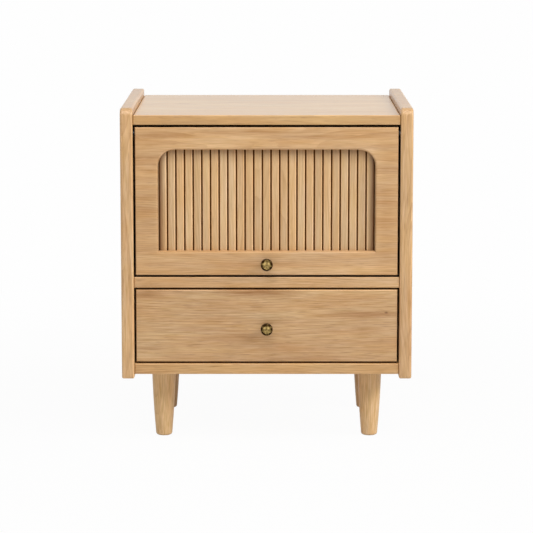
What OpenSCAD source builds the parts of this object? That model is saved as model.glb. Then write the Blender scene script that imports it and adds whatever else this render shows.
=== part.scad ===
// Bedside table in oak: a lift-up flap with a window of upright slats above one drawer,
// between two side panels that stand proud of the top, on four turned legs.
// Millimetres, +Z up, the front towards -Y. The origin lies on the floor, under the middle of
// the bounding box. Left and right are as seen from the front.

/* [Carcass] */
// Width over both side panels
carcass_w = 480; // [400:1:600]
// Depth of the side panels
carcass_d = 400; // [380:1:480]
// Thickness of each side panel
side_t = 21; // [18:0.5:26]
// Height of the side panels above the top's surface
side_rise = 11.5; // [4:0.5:40]
// Depth of the side panels below the bottom panel
side_drop = 7.5; // [0:0.5:20]
// Radius of the side panels' front top corner
side_corner_r = 13; // [6:0.5:40]
// Radius of the side panels' eased edges
side_edge_r = 4; // [1:0.25:5]
// Distance from the side panels' front edges back to the door, the drawer and the rails
front_recess = 2.5; // [0.5:0.25:6]
// Thickness of the top
top_t = 16; // [14:0.5:25]
// Thickness of the shelf between door and drawer
shelf_t = 18; // [16:0.5:25]
// Thickness of the bottom panel
bottom_t = 18; // [18:0.5:25]
// Thickness of the back panel
back_t = 5; // [3:0.5:8]
// Width of the rebate that takes the back panel in each side panel
back_rebate_w = 9; // [8:0.5:12]
// Distance from the side panels' back edges in to the back panel
back_inset = 1; // [0:0.5:6]
// Radius of the eased edges of the panels, the door and the drawer front
panel_edge_r = 2; // [0.5:0.25:3]
// Radius of the edges at the ends of the top, the shelf and the bottom panel, along the joints
panel_end_r = 3; // [0.5:0.25:4]
// Gap round the door and the drawer front
reveal = 3.25; // [2:0.25:5]

/* [Legs] */
// Height of the bottom panel above the floor
leg_h = 120.5; // [90:0.5:200]
// Diameter of a leg at its top
leg_top_d = 40; // [32:0.5:50]
// Diameter of a leg at its foot
leg_foot_d = 26.8; // [20:0.2:32]
// Rounding of the foot's edge
leg_foot_r = 4; // [1:0.5:6]
// Fullness of the leg's outline, where 0 is a straight taper
leg_belly = 0.6; // [0:0.05:0.9]
// Distance from a side panel's outer face in to a leg's axis
leg_inset_x = 66; // [60:1:110]
// Distance from the side panels' front or back edge in to a leg's axis
leg_inset_y = 88; // [60:1:130]
// Width of the square steel plate over a leg
leg_plate_w = 64; // [56:1:80]
// Thickness of the plate
leg_plate_t = 3; // [2:0.5:4]
// Distance between the plate's screws
leg_plate_pitch = 48; // [46:1:50]
// Diameter of the leg's bolt
leg_bolt_d = 8; // [6:1:10]
// Length of the bolt inside the leg
leg_bolt_grip = 42; // [25:1:60]

/* [Door] */
// Height of the door
door_h = 244.5; // [200:0.5:320]
// Thickness of the door
door_t = 22; // [21:0.5:24]
// Gap between the door and the top
door_top_gap = 3.75; // [3:0.25:6]
// Width of the door's stiles
stile_w = 38; // [32:0.5:60]
// Height of the rail above the window
top_rail_h = 37; // [32:0.5:60]
// Height of the rail below the window
bottom_rail_h = 39.5; // [36:0.5:60]
// Radius of the window's two top corners
window_corner_r = 27; // [6:1:60]
// Radius of the window's eased front edge
window_edge_r = 4; // [1:0.5:5]
// Thickness of the door's front in front of the slats
web_t = 12; // [8:0.5:13]
// Number of slats
slat_count = 25; // [11:1:25]
// Gap between two slats; half of it lies between an end slat and its stile
slat_gap = 2.6; // [1:0.1:5]
// Thickness of a slat
slat_t = 6; // [5:0.5:7]
// Radius of a slat's two front edges
slat_edge_r = 2; // [0.3:0.1:2.5]
// Length of slat held behind the rail at either end
slat_lap = 8; // [4:0.5:9]
// Width by which the board behind the slats passes the window
backing_lap = 12; // [10:0.5:14]
// Thickness of that board
backing_t = 3; // [2:0.5:4]

/* [Door hinge and stay] */
// Distance from the door's face back to the hinge axis
hinge_back = 8; // [7.5:0.25:9]
// Distance from the door's top edge down to the hinge axis
hinge_drop = 10; // [9:0.5:11]
// Diameter of a hinge pin
hinge_pin_d = 5; // [3:0.5:5]
// Length of a hinge pin in the side panel
hinge_pin_root = 13; // [8:0.5:15]
// Length of a bush in the door's edge
hinge_bush_l = 14; // [10:0.5:24]
// Wall of a bush
hinge_bush_wall = 1.5; // [1:0.1:1.6]
// Distance from the hinge axis back to the stay's pivot on the side panel
stay_reach = 110; // [90:1:150]
// Distance from the hinge axis down to that pivot
stay_fall = 16; // [14:1:30]
// Distance from the door's back out to the stay's pivot on the door
stay_stand = 11; // [9:0.5:14]
// Distance from the hinge axis down to the pivot on the door
stay_drop = 62; // [50:1:75]
// Diameter of the stay's friction drum
stay_drum_d = 26; // [20:0.5:28]
// Depth of the drum
stay_drum_h = 7; // [5:0.5:8]
// Width of the stay's arm and link
stay_bar_w = 10; // [8:0.5:12]
// Thickness of the stay's steel
stay_bar_t = 2.5; // [1.5:0.1:3]
// Diameter of the stay's rivets
stay_rivet_d = 5; // [3:0.5:6]

/* [Drawer] */
// Height of the drawer front
drawer_h = 120.5; // [100:0.5:180]
// Thickness of the drawer front
drawer_front_t = 18; // [15:0.5:22]
// Gap between the drawer and the back panel
drawer_back_gap = 28.5; // [10:0.5:80]
// Height of the drawer's sides
drawer_side_h = 88; // [70:1:92]
// Thickness of the drawer's sides
drawer_side_t = 13; // [12:0.5:16]
// Distance from the drawer front's lower edge up to the sides
drawer_side_lift = 9; // [5:0.5:12]
// Thickness of the drawer's back
drawer_back_t = 12; // [8:0.5:15]
// Depth of the housings for the drawer's back
drawer_back_dado = 4; // [3:0.5:5]
// Distance from the sides' rear ends in to the drawer's back
drawer_back_inset = 20; // [8:0.5:30]
// Thickness of the drawer's bottom
drawer_bottom_t = 4; // [3:0.5:6]
// Distance from the sides' lower edge up to the drawer's bottom
drawer_bottom_lift = 8; // [5:0.5:12]
// Depth of the grooves for the drawer's bottom
drawer_bottom_groove = 5; // [3:0.5:6]
// Number of dovetails at either end of the drawer front
tail_count = 3; // [2:1:4]
// Length of a dovetail
tail_len = 11; // [8:0.5:13]
// Width of a dovetail at its root
tail_root_w = 15; // [10:0.5:16]
// Slope of a dovetail's flanks, in degrees
tail_slope = 10; // [6:1:14]
// Width of a wooden runner, from the side panel inwards
runner_w = 9; // [8:0.5:10]
// Height of a runner
runner_h = 16; // [12:0.5:24]
// Distance from the back of the drawer front to the runners' front ends
runner_start = 30; // [15:1:60]
// Gap between a runner and the back panel
runner_back_gap = 13.5; // [5:0.5:60]
// Radius of a runner's free corner at its front end
runner_nose_r = 4; // [1:0.5:6]

/* [Hardware] */
// Diameter of a knob
knob_d = 20; // [16:0.5:26]
// Diameter of a knob's flat face
knob_face_d = 13.4; // [8:0.2:14]
// Distance from a front to its knob's face
knob_reach = 25; // [18:0.5:35]
// Diameter of a knob's neck
knob_neck_d = 9; // [7:0.5:12]
// Diameter of the foot of a knob
knob_foot_d = 13; // [12:0.5:16]
// Distance from the door's lower edge up to its knob
door_knob_lift = 20; // [14:0.5:23]
// Distance from the drawer front's lower edge up to its knob
drawer_knob_lift = 57.5; // [30:0.5:90]
// Diameter of a knob's stud
knob_stud_d = 5; // [4:0.5:6]
// Length of a knob's stud in the wood
knob_stud_l = 14; // [10:0.5:14]
// Distance from the middle of the table out to the door's catch
catch_offset = 110; // [50:1:125]
// Length of the catch
catch_w = 46; // [36:1:60]
// Depth of the catch
catch_d = 15; // [12:0.5:20]
// Height of the catch
catch_h = 22; // [20:0.5:26]
// Thickness of the steel plate that the catch holds
catch_plate_t = 1.5; // [1:0.1:2]
// Diameter of a dowel
dowel_d = 8; // [6:0.5:10]
// Length of a dowel in a side panel
dowel_root = 12; // [8:0.5:14]
// Length of a dowel in a panel's end
dowel_tip = 22; // [15:0.5:30]
// Distance from the top's or the shelf's front or back edge in to the nearest dowel
dowel_margin = 48; // [30:1:70]
// Diameter of a wood screw's shank
screw_d = 3.5; // [3:0.1:4]
// Diameter of a wood screw's countersunk head
screw_head_d = 7; // [6:0.1:7.5]
// Length of a wood screw
screw_l = 18; // [16:0.5:18]

/* [Clearances] */
// Running clearance between a pin and its bush, on the radius
pin_clear = 0.05; // [0.02:0.01:0.1]
// Clearance between the drawer and the top of its runners
runner_clear = 0.05; // [0.02:0.01:0.3]
// Play between parts that are glued in or set in a housing
seat_clear = 0.2; // [0.05:0.05:0.4]
// Gap between the stay's bars
bar_clear = 0.3; // [0.15:0.05:0.5]
// Gap between a bush's flange and the side panel
flange_clear = 0.4; // [0.2:0.05:1]

/* [Hidden] */
$fn = 96;

LEGS = [["front_left", -1, -1], ["front_right", 1, -1], ["back_left", -1, 1], ["back_right", 1, 1]];
SIDES = [["left", -1], ["right", 1]];
SLATS = [for (i = [1:slat_count]) [str("tambour_slat_", i < 10 ? "0" : "", i), i]];

// Colours
oak = [0.81, 0.65, 0.47];
oak_light = [0.88, 0.79, 0.69];
oak_inside = [0.76, 0.6, 0.43];
board = [0.34, 0.22, 0.12];
brass = [0.6, 0.47, 0.26];
steel = [0.66, 0.67, 0.69];
nylon = [0.08, 0.08, 0.08];
beech = [0.85, 0.72, 0.55];

// Widths
inner_w = carcass_w - 2 * side_t;
wall_x = inner_w / 2;
door_w = inner_w - 2 * reveal;
window_w = door_w - 2 * stile_w;
slat_pitch = window_w / slat_count;
slat_w = slat_pitch - slat_gap;
leg_x = carcass_w / 2 - leg_inset_x;

// Depths
front_y = (knob_reach - front_recess - carcass_d) / 2;
back_y = front_y + carcass_d;
face_y = front_y + front_recess;
rebate_y = back_y - back_inset - back_t;
door_back_y = face_y + door_t;
drawer_y = face_y + drawer_front_t;
slat_y = face_y + web_t;
backing_y = slat_y + slat_t;
leg_ys = [front_y + leg_inset_y, back_y - leg_inset_y];
catch_y = door_back_y + catch_plate_t;

// Heights, from the floor up
bottom_z = leg_h;
side_z = bottom_z - side_drop;
drawer_z = bottom_z + bottom_t + reveal;
shelf_z = drawer_z + drawer_h + reveal;
door_z = shelf_z + shelf_t + reveal;
door_top_z = door_z + door_h;
top_z = door_top_z + door_top_gap;
side_h = top_z + top_t + side_rise - side_z;
sill_z = door_z + bottom_rail_h;
window_top_z = door_top_z - top_rail_h;
window_h = window_top_z - sill_z;
door_knob_z = door_z + door_knob_lift;
drawer_knob_z = drawer_z + drawer_knob_lift;

// Drawer box, whose sides are flush with the ends of the drawer front
box_x = door_w / 2;
box_z = drawer_z + drawer_side_lift;
box_end_y = rebate_y - drawer_back_gap;
groove_play = 0.5;
groove_x = wall_x - runner_w - groove_play;
groove_lift = 1;
runner_z = box_z + (drawer_side_h - runner_h) / 2;
runner_y = drawer_y + runner_start;
runner_len = rebate_y - runner_back_gap - runner_y;
tray_z = box_z + drawer_bottom_lift;

// Hinge and stay, as [y, z] of each pivot when the door is shut
hinge_at = [face_y + hinge_back, door_top_z - hinge_drop];
stay_crank = [door_t - hinge_back + stay_stand, -stay_drop];
stay_root_at = hinge_at + [stay_reach, -stay_fall];
stay_door_at = hinge_at + stay_crank;
stay_free_at = stay_root_at + stay_crank;
bush_d = hinge_pin_d + 2 * hinge_bush_wall;
bush_flange_t = reveal - flange_clear;
bush_flange_rim = 1;

// Stay layers, measured from the right side panel's inner face towards the middle
layer_drum = stay_bar_t;
layer_arm = layer_drum + stay_drum_h + bar_clear;
layer_link = layer_arm + stay_bar_t + bar_clear;
layer_head = layer_link + stay_bar_t + bar_clear;
rivet_head_t = 1.5;
rivet_head_d = 1.6 * stay_rivet_d;
stay_eye_rim = 0.5;
stay_eye_d = stay_bar_w + 2 * stay_eye_rim;
stay_plate_rim = 2;
stay_plate_ear = 15;
stay_plate_w = stay_drum_d + 2 * stay_plate_rim;
stay_plate_l = stay_drum_d + 2 * stay_plate_ear;

// Leg
leg_boss_wall = 3;
leg_boss_d = leg_bolt_d + 2 * leg_boss_wall;
leg_boss_h = 9;
leg_steps = 12;

// Places of fasteners
function three_places(first, last) = [first, (first + last) / 2, last];
top_dowel_ys = three_places(face_y + dowel_margin, back_y - dowel_margin);
shelf_dowel_ys = three_places(face_y + dowel_margin, rebate_y - dowel_margin);
plate_reach = leg_plate_w / 2 + dowel_d;
bottom_dowel_ys = three_places(leg_ys[0] - plate_reach, leg_ys[1] + plate_reach);
top_dowels = [for (y = top_dowel_ys) [y, top_z + top_t / 2]];
shelf_dowels = [for (y = shelf_dowel_ys) [y, shelf_z + shelf_t / 2]];
bottom_dowels = [for (y = bottom_dowel_ys) [y, bottom_z + bottom_t / 2]];
all_dowels = concat(top_dowels, shelf_dowels, bottom_dowels);
back_screw_xs = [for (k = [-1.5:1:1.5]) k * (inner_w - 2 * dowel_margin) / 3];
back_screw_zs = [bottom_z + bottom_t / 2, shelf_z + shelf_t / 2];
back_edge_zs = [drawer_z + drawer_h / 2, door_z + door_h / 3, door_z + door_h * 2 / 3];
runner_screw_in = 20;
runner_screw_ys = three_places(runner_y + runner_screw_in, runner_y + runner_len - runner_screw_in);
runner_mid_z = runner_z + runner_h / 2;
fitting_screw_in = 7;
fitting_corner_r = 3;
stay_screw_ys = [for (k = [-1, 1]) stay_root_at[0] + k * (stay_plate_l / 2 - fitting_screw_in)];
catch_foot_l = 10;
catch_foot_t = 3;
catch_screw_xs = [for (k = [-1, 1]) k * (catch_w - catch_foot_l) / 2 - catch_offset];
bracket_w = 14;
bracket_l = 44;
bracket_x = wall_x - layer_arm - bracket_w;
bracket_screw_zs = [for (k = [-1, 1]) stay_door_at[1] + k * (bracket_l / 2 - fitting_screw_in)];
catch_plate_w = 34;
catch_plate_lift = 4;
catch_plate_z = door_z + catch_plate_lift;
catch_plate_h = 18;

// ---- Shapes used by several pieces ----

// Corner at the origin, with the stock in the first quadrant: what a rounding of radius r takes off
module corner_waste(r) {
    difference() {
        translate([-1, -1]) square(r + 1);
        translate([r, r]) circle(r);
    }
}

// Rectangle whose corners have the radii [near left, near right, far right, far left]
module rounded_rect(size, radii) {
    difference() {
        square(size);
        if (radii[0] > 0) corner_waste(radii[0]);
        if (radii[1] > 0) translate([size[0], 0]) mirror([1, 0]) corner_waste(radii[1]);
        if (radii[2] > 0) translate(size) rotate(180) corner_waste(radii[2]);
        if (radii[3] > 0) translate([0, size[1]]) mirror([0, 1]) corner_waste(radii[3]);
    }
}

// Prism along X: the outline's x runs along Y, and its y runs along Z
module along_x(length) {
    rotate([90, 0, 90]) linear_extrude(length) children();
}

// Prism along Y, from y = 0 backwards: the outline lies in X and Z
module along_y(length) {
    translate([0, length, 0]) rotate([90, 0, 0]) linear_extrude(length) children();
}

// What is drawn for the right side, or its mirror image on the left
module on_side(hand) {
    mirror([hand < 0 ? 1 : 0, 0, 0]) children();
}

// Board for a front: the four edges of its face at y = 0 are eased
module faced_board(size, r) {
    intersection() {
        along_x(size[0]) rounded_rect([size[1], size[2]], [r, 0, 0, r]);
        linear_extrude(size[2]) rounded_rect([size[0], size[1]], [r, r, 0, 0]);
    }
}

// Flat bar of the stay from pivot a to pivot b, a little narrower than the round eyes at its ends
module bar_outline(a, b) {
    for (p = [a, b]) {
        translate(p) circle(d = stay_eye_d);
    }
    translate(a) rotate(atan2(b[1] - a[1], b[0] - a[0])) translate([0, -stay_bar_w / 2])
        square([norm(b - a), stay_bar_w]);
}

// Cylinder along -X from the plane at layer `from` to layer `to`, counted from the right side panel
module stay_pin(at, d, from, to) {
    translate([wall_x - to, at[0], at[1]]) rotate([0, 90, 0]) cylinder(d = d, h = to - from);
}

// Countersunk wood screw along +Z, with the top of its head at z = 0 and its point at z = screw_l
module wood_screw() {
    head_h = (screw_head_d - screw_d) / 2;
    rotate_extrude() polygon([
        [0, 0],
        [screw_head_d / 2, 0],
        [screw_d / 2, head_h],
        [screw_d / 2, screw_l - screw_d],
        [0, screw_l]
    ]);
}

// ---- Carcass ----

// Blind holes along +X from the plane x = 0
module dowel_holes(places, depth) {
    for (p = places) {
        translate([-1, p[0], p[1]]) rotate([0, 90, 0]) cylinder(d = dowel_d, h = depth + 1);
    }
}

// Waste along the eased edges of a side panel's face at x = 0, for stock in x > 0. The edges run
// straight, and a quarter ring follows the front top corner.
module side_edge_waste() {
    r = side_edge_r;
    linear_extrude(side_h - side_corner_r) corner_waste(r);
    translate([0, carcass_d, 0]) mirror([0, 1, 0]) linear_extrude(side_h) corner_waste(r);
    along_y(carcass_d) corner_waste(r);
    translate([0, side_corner_r, side_h]) mirror([0, 0, 1])
        along_y(carcass_d - side_corner_r) corner_waste(r);
    translate([0, side_corner_r, side_h - side_corner_r]) rotate([90, 0, 90]) rotate(90)
        rotate_extrude(angle = 90) translate([side_corner_r, 0]) mirror([1, 0]) corner_waste(r);
}

module side_panel(hand) {
    r = side_edge_r;
    color(oak) difference() {
        on_side(hand) difference() {
            translate([wall_x, front_y, side_z]) difference() {
                along_x(side_t) rounded_rect([carcass_d, side_h], [r, r, r, side_corner_r]);
                side_edge_waste();
                translate([side_t, 0, 0]) mirror([1, 0, 0]) side_edge_waste();
            }
            translate([wall_x - 1, rebate_y, bottom_z])
                cube([back_rebate_w + 1, back_y - rebate_y + 1, top_z - bottom_z]);
            translate([wall_x, 0, 0]) dowel_holes(all_dowels, dowel_root);
            translate([wall_x - 1, hinge_at[0], hinge_at[1]]) rotate([0, 90, 0])
                cylinder(d = hinge_pin_d, h = hinge_pin_root + 1);
        }
        carcass_screws();
    }
}

// Panel between the side panels from the plane of the fronts back to end_y. Its front is eased on
// all four edges, and its top edge at the back where rear_r is given.
module carcass_panel(z, thickness, end_y, dowels, rear_r = 0) {
    r = panel_edge_r;
    depth = end_y - face_y;
    difference() {
        translate([-wall_x, face_y, z]) intersection() {
            along_x(inner_w) rounded_rect([depth, thickness], [r, 0, rear_r, r]);
            linear_extrude(thickness) rounded_rect([inner_w, depth], [panel_end_r, panel_end_r, 0, 0]);
        }
        for (s = SIDES) {
            on_side(s[1]) translate([wall_x, 0, 0]) mirror([1, 0, 0]) dowel_holes(dowels, dowel_tip);
        }
        carcass_screws();
    }
}

// The top's ends are eased along the side panels too
module top_panel() {
    color(oak_light) intersection() {
        carcass_panel(top_z, top_t, back_y, top_dowels, panel_edge_r);
        translate([-wall_x, face_y, top_z]) along_y(carcass_d)
            rounded_rect([inner_w, top_t], [0, 0, panel_end_r, panel_end_r]);
    }
}

module middle_shelf() {
    color(oak) carcass_panel(shelf_z, shelf_t, rebate_y, shelf_dowels);
}

module bottom_panel() {
    color(oak) difference() {
        carcass_panel(bottom_z, bottom_t, rebate_y, bottom_dowels);
        for (l = LEGS) {
            at_leg(l) translate([0, 0, leg_h - 1])
                cylinder(d = leg_boss_d, h = leg_boss_h + 1 + seat_clear);
        }
    }
}

module back_panel() {
    reach = back_rebate_w - seat_clear;
    color(oak_inside) difference() {
        translate([-wall_x - reach, rebate_y, bottom_z])
            cube([inner_w + 2 * reach, back_t, top_z - bottom_z - seat_clear]);
        carcass_screws();
    }
}

module carcass_dowels() {
    chamfer = 1;
    length = dowel_root + dowel_tip - 2 * seat_clear;
    color(beech) for (s = SIDES) {
        for (p = all_dowels) {
            on_side(s[1]) translate([wall_x - dowel_tip + seat_clear, p[0], p[1]]) rotate([0, 90, 0])
                rotate_extrude() polygon([
                    [0, 0],
                    [dowel_d / 2 - chamfer, 0],
                    [dowel_d / 2, chamfer],
                    [dowel_d / 2, length - chamfer],
                    [dowel_d / 2 - chamfer, length],
                    [0, length]
                ]);
        }
    }
}

// Every screw of the carcass where it is driven. The pieces that a screw passes are cut by it.
module carcass_screws() {
    for (x = back_screw_xs) {
        for (z = back_screw_zs) {
            translate([x, rebate_y + back_t, z]) rotate([90, 0, 0]) wood_screw();
        }
    }
    for (s = SIDES) {
        on_side(s[1]) {
            for (z = back_edge_zs) {
                translate([wall_x + back_rebate_w / 2, rebate_y + back_t, z])
                    rotate([90, 0, 0]) wood_screw();
            }
            for (y = runner_screw_ys) {
                translate([wall_x - runner_w, y, runner_mid_z]) rotate([0, 90, 0]) wood_screw();
            }
        }
    }
    for (y = stay_screw_ys) {
        translate([wall_x - stay_bar_t, y, stay_root_at[1]]) rotate([0, 90, 0]) wood_screw();
    }
    for (x = catch_screw_xs) {
        translate([x, catch_y + catch_d / 2, shelf_z + shelf_t + catch_foot_t]) rotate([180, 0, 0])
            wood_screw();
    }
    for (l = LEGS) {
        at_leg(l) leg_plate_screws();
    }
}

module leg_plate_screws() {
    for (kx = [-0.5, 0.5]) {
        for (ky = [-0.5, 0.5]) {
            translate([kx * leg_plate_pitch, ky * leg_plate_pitch, leg_h - leg_plate_t]) wood_screw();
        }
    }
}

module wood_screws() {
    color(steel) carcass_screws();
}

// ---- Legs ----

module at_leg(l) {
    translate([l[1] * leg_x, l[2] < 0 ? leg_ys[0] : leg_ys[1], 0]) children();
}

// Radius of a leg at a share t of its height, fullest near the top
function leg_r(t) = (leg_foot_d + (leg_top_d - leg_foot_d) * (t + leg_belly * t * (1 - t))) / 2;

module leg(l) {
    height = leg_h - leg_plate_t;
    foot_share = leg_foot_r / height;
    foot = [for (a = [0:15:75]) [
        leg_r(foot_share) - leg_foot_r + leg_foot_r * sin(a),
        leg_foot_r - leg_foot_r * cos(a)
    ]];
    shares = [for (k = [0:leg_steps]) foot_share + (1 - foot_share) * k / leg_steps];
    flank = [for (t = shares) [leg_r(t), t * height]];
    color(oak) at_leg(l) difference() {
        rotate_extrude() polygon(concat([[0, 0]], foot, flank, [[0, height]]));
        translate([0, 0, height - leg_bolt_grip]) cylinder(d = leg_bolt_d, h = leg_bolt_grip + 1);
    }
}

module leg_plates() {
    w = leg_plate_w;
    r = fitting_corner_r;
    color(steel) for (l = LEGS) {
        at_leg(l) difference() {
            union() {
                translate([-w / 2, -w / 2, leg_h - leg_plate_t])
                    linear_extrude(leg_plate_t) rounded_rect([w, w], [r, r, r, r]);
                translate([0, 0, leg_h - leg_plate_t])
                    cylinder(d = leg_boss_d, h = leg_boss_h + leg_plate_t);
            }
            translate([0, 0, leg_h - leg_plate_t - 1])
                cylinder(d = leg_bolt_d, h = leg_boss_h + leg_plate_t + 2);
            leg_plate_screws();
        }
    }
}

module leg_bolts() {
    tip = leg_bolt_d / 4;
    length = leg_bolt_grip + leg_plate_t + leg_boss_h - tip;
    color(steel) for (l = LEGS) {
        at_leg(l) translate([0, 0, leg_h - leg_plate_t - leg_bolt_grip]) rotate_extrude() polygon([
            [0, 0],
            [leg_bolt_d / 2 - tip, 0],
            [leg_bolt_d / 2, tip],
            [leg_bolt_d / 2, length],
            [0, length]
        ]);
    }
}

// ---- Door ----

// One straight run of the window's eased edge is cut along each side, and a quarter ring round
// each corner: at the two top corners it follows the corner's radius, and at the square bottom
// corners it turns about the corner itself.
module window_edge_waste() {
    r = window_edge_r;
    half = window_w / 2;
    run_x = half - window_corner_r;
    run_z = window_h - window_corner_r;
    for (s = SIDES) {
        on_side(s[1]) {
            translate([half, 0, 0]) linear_extrude(run_z) corner_waste(r);
            translate([run_x, 0, run_z]) rotate([-90, 0, 0]) rotate(-90)
                rotate_extrude(angle = 90) translate([window_corner_r, 0]) corner_waste(r);
            translate([half, 0, 0]) rotate([-90, 0, 0]) rotate_extrude(angle = 90)
                intersection() {
                    corner_waste(r);
                    translate([0, -1]) square(r + 1);
                }
        }
    }
    translate([-half, 0, 0]) along_x(window_w) mirror([0, 1]) corner_waste(r);
    translate([-run_x, 0, window_h]) along_x(2 * run_x) corner_waste(r);
}

module door_frame() {
    color(oak) difference() {
        translate([-door_w / 2, face_y, door_z]) faced_board([door_w, door_t, door_h], panel_edge_r);
        translate([-window_w / 2, face_y - 1, sill_z]) along_y(web_t + 2)
            rounded_rect([window_w, window_h], [0, 0, window_corner_r, window_corner_r]);
        translate([0, face_y, sill_z]) window_edge_waste();
        translate([-window_w / 2, slat_y, sill_z - slat_lap])
            cube([window_w, door_t, window_h + 2 * slat_lap]);
        translate([-window_w / 2 - backing_lap, backing_y, sill_z - backing_lap])
            cube([window_w + 2 * backing_lap, door_t, window_h + 2 * backing_lap]);
        hinge_bush_solids();
        door_fitting_screws();
        translate([0, face_y + knob_stud_l, door_knob_z]) rotate([90, 0, 0])
            cylinder(d = knob_stud_d, h = knob_stud_l + 1);
    }
}

module tambour_slat(i) {
    x = -window_w / 2 + slat_gap / 2 + (i - 1) * slat_pitch;
    lap = slat_lap - seat_clear;
    color(oak) translate([x, slat_y, sill_z - lap]) linear_extrude(window_h + 2 * lap)
        rounded_rect([slat_w, slat_t], [slat_edge_r, slat_edge_r, 0, 0]);
}

module tambour_backing() {
    lap = backing_lap - seat_clear;
    color(board) translate([-window_w / 2 - lap, backing_y, sill_z - lap])
        cube([window_w + 2 * lap, backing_t, window_h + 2 * lap]);
}

// Outside of both bushes, which is also what they take out of the door's edges
module hinge_bush_solids() {
    for (s = SIDES) {
        on_side(s[1]) translate([door_w / 2, hinge_at[0], hinge_at[1]]) rotate([0, 90, 0]) {
            translate([0, 0, -hinge_bush_l]) cylinder(d = bush_d, h = hinge_bush_l);
            cylinder(d = bush_d + 2 * bush_flange_rim, h = bush_flange_t);
        }
    }
}

module hinge_bushes() {
    color(nylon) difference() {
        hinge_bush_solids();
        translate([-door_w, hinge_at[0], hinge_at[1]]) rotate([0, 90, 0])
            cylinder(d = hinge_pin_d + 2 * pin_clear, h = 2 * door_w);
    }
}

module hinge_pins() {
    nose = 0.8;
    tip_gap = 2;
    length = hinge_pin_root + reveal + hinge_bush_l - tip_gap;
    color(steel) for (s = SIDES) {
        on_side(s[1]) translate([wall_x + hinge_pin_root, hinge_at[0], hinge_at[1]]) rotate([0, -90, 0])
            rotate_extrude() polygon([
                [0, 0],
                [hinge_pin_d / 2, 0],
                [hinge_pin_d / 2, length - nose],
                [hinge_pin_d / 2 - nose, length],
                [0, length]
            ]);
    }
}

// ---- Stay: a friction arm on the side panel, parallel to the door, and a link between them ----

module stay_housing() {
    r = fitting_corner_r;
    color(steel) difference() {
        union() {
            translate([wall_x - stay_bar_t, 0, 0]) along_x(stay_bar_t)
                translate(stay_root_at - [stay_plate_l, stay_plate_w] / 2)
                    rounded_rect([stay_plate_l, stay_plate_w], [r, r, r, r]);
            stay_pin(stay_root_at, stay_drum_d, layer_drum, layer_drum + stay_drum_h);
            stay_pin(stay_root_at, stay_rivet_d, layer_drum, layer_link);
            stay_pin(stay_root_at, rivet_head_d, layer_link, layer_link + rivet_head_t);
        }
        for (y = stay_screw_ys) {
            translate([wall_x - stay_bar_t, y, stay_root_at[1]]) rotate([0, 90, 0]) wood_screw();
        }
    }
}

// The arm turns on the drum's rivet and carries the rivet of the far pivot
module stay_arm() {
    color(steel) {
        translate([wall_x - layer_arm - stay_bar_t, 0, 0]) along_x(stay_bar_t) difference() {
            bar_outline(stay_root_at, stay_free_at);
            translate(stay_root_at) circle(d = stay_rivet_d + 2 * pin_clear);
        }
        stay_pin(stay_free_at, stay_rivet_d, layer_arm, layer_head);
        stay_pin(stay_free_at, rivet_head_d, layer_head, layer_head + rivet_head_t);
    }
}

// The link hangs on the door's rivet; its other eye has play, so that no closed loop binds
module stay_link() {
    color(steel) translate([wall_x - layer_link - stay_bar_t, 0, 0]) along_x(stay_bar_t) difference() {
        bar_outline(stay_door_at, stay_free_at);
        translate(stay_door_at) circle(d = stay_rivet_d + 2 * pin_clear);
        translate(stay_free_at) circle(d = stay_rivet_d + 2 * bar_clear);
    }
}

module stay_bracket() {
    r = fitting_corner_r;
    color(steel) difference() {
        union() {
            translate([bracket_x, door_back_y, stay_door_at[1] - bracket_l / 2]) along_y(stay_bar_t)
                rounded_rect([bracket_w, bracket_l], [r, 0, 0, r]);
            translate([bracket_x + bracket_w - stay_bar_t, 0, 0]) along_x(stay_bar_t) {
                translate([door_back_y, stay_door_at[1] - stay_bar_w / 2]) square([stay_stand, stay_bar_w]);
                translate(stay_door_at) circle(d = stay_eye_d);
            }
            stay_pin(stay_door_at, stay_rivet_d, layer_arm, layer_head);
            stay_pin(stay_door_at, rivet_head_d, layer_head, layer_head + rivet_head_t);
        }
        door_fitting_screws();
    }
}

// ---- Catch ----

module catch_body() {
    r = fitting_corner_r;
    color(nylon) difference() {
        translate([-catch_offset - catch_w / 2, catch_y, shelf_z + shelf_t]) along_y(catch_d) {
            square([catch_w, catch_foot_t]);
            translate([catch_foot_l, 0]) rounded_rect([catch_w - 2 * catch_foot_l, catch_h], [0, 0, r, r]);
        }
        carcass_screws();
    }
}

module catch_plate() {
    r = fitting_corner_r;
    color(steel) difference() {
        translate([-catch_offset - catch_plate_w / 2, door_back_y, catch_plate_z])
            along_y(catch_plate_t) rounded_rect([catch_plate_w, catch_plate_h], [r, r, r, r]);
        door_fitting_screws();
    }
}

// Screws of the door's fittings, driven from the back of the door
module door_fitting_screws() {
    for (z = bracket_screw_zs) {
        translate([bracket_x + (bracket_w - stay_bar_t) / 2, door_back_y + stay_bar_t, z])
            rotate([90, 0, 0]) wood_screw();
    }
    for (k = [-1, 1]) {
        translate([-catch_offset + k * (catch_plate_w / 2 - fitting_screw_in), door_back_y + catch_plate_t,
            catch_plate_z + catch_plate_h / 2]) rotate([90, 0, 0]) wood_screw();
    }
}

module door_screws() {
    color(steel) door_fitting_screws();
}

// ---- Knobs ----

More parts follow.
